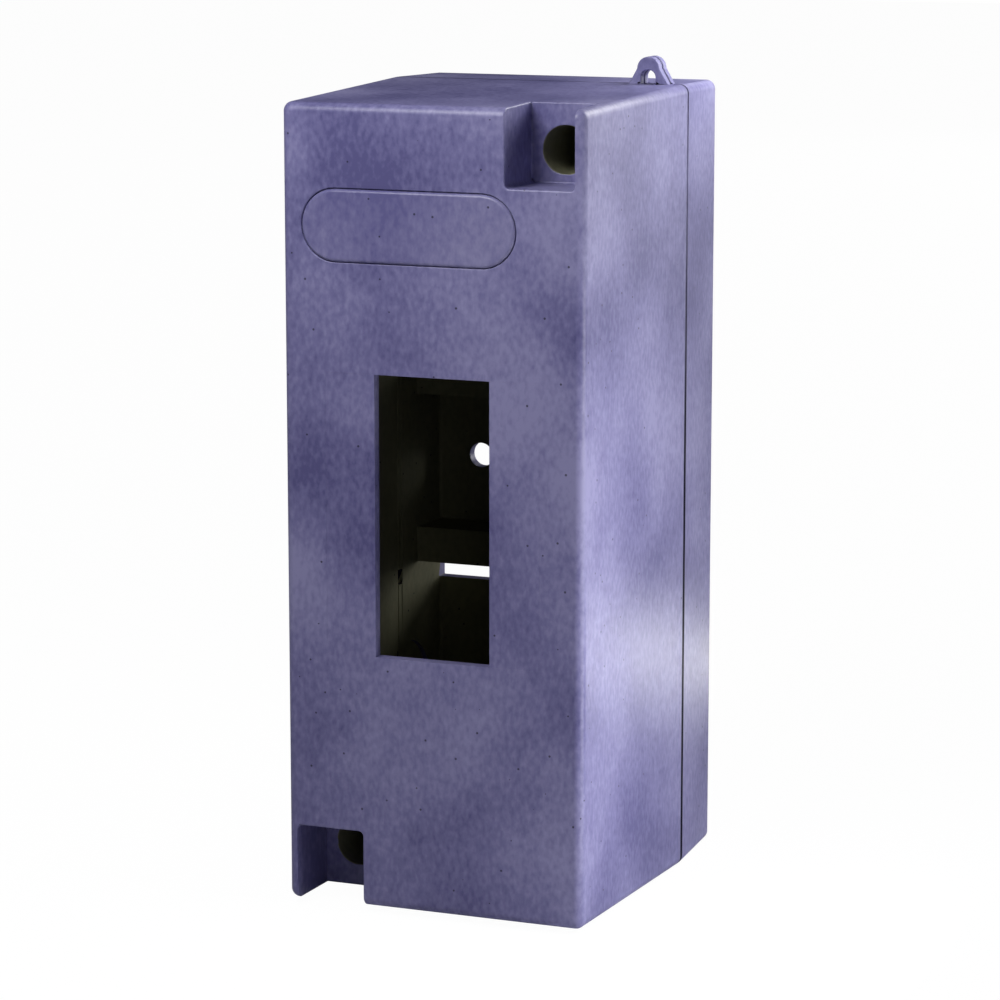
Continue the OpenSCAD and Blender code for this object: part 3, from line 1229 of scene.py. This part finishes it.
@dataclass
class Studio:
    """A pale floor, soft lights and the camera."""

    azimuth: float = 21.9
    elevation: float = 10.42
    distance: float = 0.600
    lens: float = 131.5
    target: tuple[float, float, float] = (-2.1 * MM, -28.1 * MM, -3.0 * MM)
    floor_half: float = 3.0
    floor_colour: str = "#e2e2e5"
    floor_roughness: float = 0.9
    floor_glow: float = 0.94
    glow_strength: float = 1.04
    surround_colour: str = "#eef0f6"
    surround_strength: float = 0.045
    clip_start: float = 0.01

    def build(self) -> None:
        """Builds the floor, the world, the lights and the camera."""
        self._floor()
        self._world()
        for light in LIGHTS:
            light.build()
        self._camera()

    def _floor(self) -> None:
        """Builds the floor: a pale matt sheet level with the enclosure's lower end.

        It lights the enclosure as paper does, and the camera sees it washed out to nearly white.
        """
        level = CAD_BOX[0].z
        h = self.floor_half
        corners = [(-h, -h, level), (h, -h, level), (h, h, level), (-h, h, level)]
        mesh = bpy.data.meshes.new("floor")
        mesh.from_pydata(corners, [], [(0, 1, 2, 3)])
        floor = bpy.data.objects.new("floor", mesh)
        bpy.context.scene.collection.objects.link(floor)
        material, tree = blank_material("pale_paper")
        paper = add_node(
            tree,
            "ShaderNodeBsdfPrincipled",
            {
                "Base Color": linear(self.floor_colour),
                "Roughness": self.floor_roughness,
                "Specular IOR Level": 0.0,
            },
        )
        white = linear("#ffffff")
        glow = add_node(
            tree, "ShaderNodeEmission", {"Color": white, "Strength": self.glow_strength}
        )
        seen = add_node(tree, "ShaderNodeLightPath").outputs["Is Camera Ray"]
        share = calculate(tree, "MULTIPLY", seen, self.floor_glow)
        both = add_node(
            tree, "ShaderNodeMixShader", {0: share, 1: paper.outputs[0], 2: glow.outputs[0]}
        )
        add_node(tree, "ShaderNodeOutputMaterial", {"Surface": both.outputs[0]})
        mesh.materials.append(material)

    def _world(self) -> None:
        """A white surround to the eye, and a dim one to the surfaces, so that the lights model them."""
        world = bpy.data.worlds.new("studio")
        bpy.context.scene.world = world
        world.use_nodes = True
        tree = world.node_tree
        tree.nodes.clear()
        path = add_node(tree, "ShaderNodeLightPath").outputs["Is Camera Ray"]
        dim = add_node(
            tree,
            "ShaderNodeBackground",
            {"Color": linear(self.surround_colour), "Strength": self.surround_strength},
        )
        white = add_node(tree, "ShaderNodeBackground", {"Color": linear("#ffffff"), "Strength": 1.0})
        both = add_node(
            tree, "ShaderNodeMixShader", {0: path, 1: dim.outputs[0], 2: white.outputs[0]}
        )
        add_node(tree, "ShaderNodeOutputWorld", {"Surface": both.outputs[0]})

    def _camera(self) -> None:
        """Puts the camera at its azimuth and elevation round the target."""
        turn, tilt = math.radians(self.azimuth), math.radians(self.elevation)
        back = Vector(
            (math.sin(turn) * math.cos(tilt), -math.cos(turn) * math.cos(tilt), math.sin(tilt))
        )
        data = bpy.data.cameras.new("camera")
        data.lens = self.lens
        data.clip_start = self.clip_start
        camera = bpy.data.objects.new("camera", data)
        bpy.context.scene.collection.objects.link(camera)
        camera.location = Vector(self.target) + back * self.distance
        camera.rotation_euler = (-back).to_track_quat("-Z", "Y").to_euler()
        bpy.context.scene.camera = camera


def main() -> None:
    """Builds the finishes, the enclosure and the studio."""
    logging.basicConfig(level=logging.INFO, format="%(name)s: %(message)s")
    bpy.context.scene.view_settings.view_transform = "Standard"
    skin = MouldedPlastic(
        "slate_violet_abs", "#7976a5", "#928fba", "#5c598a", roughness=0.4, joint_mm=17.15
    ).build()
    label = MouldedPlastic("label_abs", "#7b78a5", "#8f8cb4", "#656294", roughness=0.38).build()
    # the same plastic in olive, the tint it takes in shadow: painted shade on the shells' insides, the
    # bores and the backs of the tear-outs and strips
    inside_shade_tint = MouldedPlastic(
        "inside_shade_tint_abs", "#7c7b63", "#84836a", "#706f59", roughness=0.8, specular=0.15
    ).build()
    steel = TurnedMetal("zinc_plated_steel", "#c3c6cb", 0.34, 0.25).build()
    brass = TurnedMetal("turned_brass", "#d6ae62", 0.3, 0.3).build()
    nylon = MouldedPlastic(
        "natural_nylon", "#dcd9ce", "#e4e1d7", "#d3d0c4", roughness=0.4, ior=1.53, speck_dark=0.0
    ).build()
    ShellPair(Envelope(), skin, inside_shade_tint).build()
    KnockOuts(skin, inside_shade_tint).build()
    LabelPlate(label).build()
    WindowStrips(skin, inside_shade_tint).build()
    for end in End:
        CoverScrew(end, steel, nylon, brass).build()
    Studio().build()


if __name__ == "__main__":
    main()
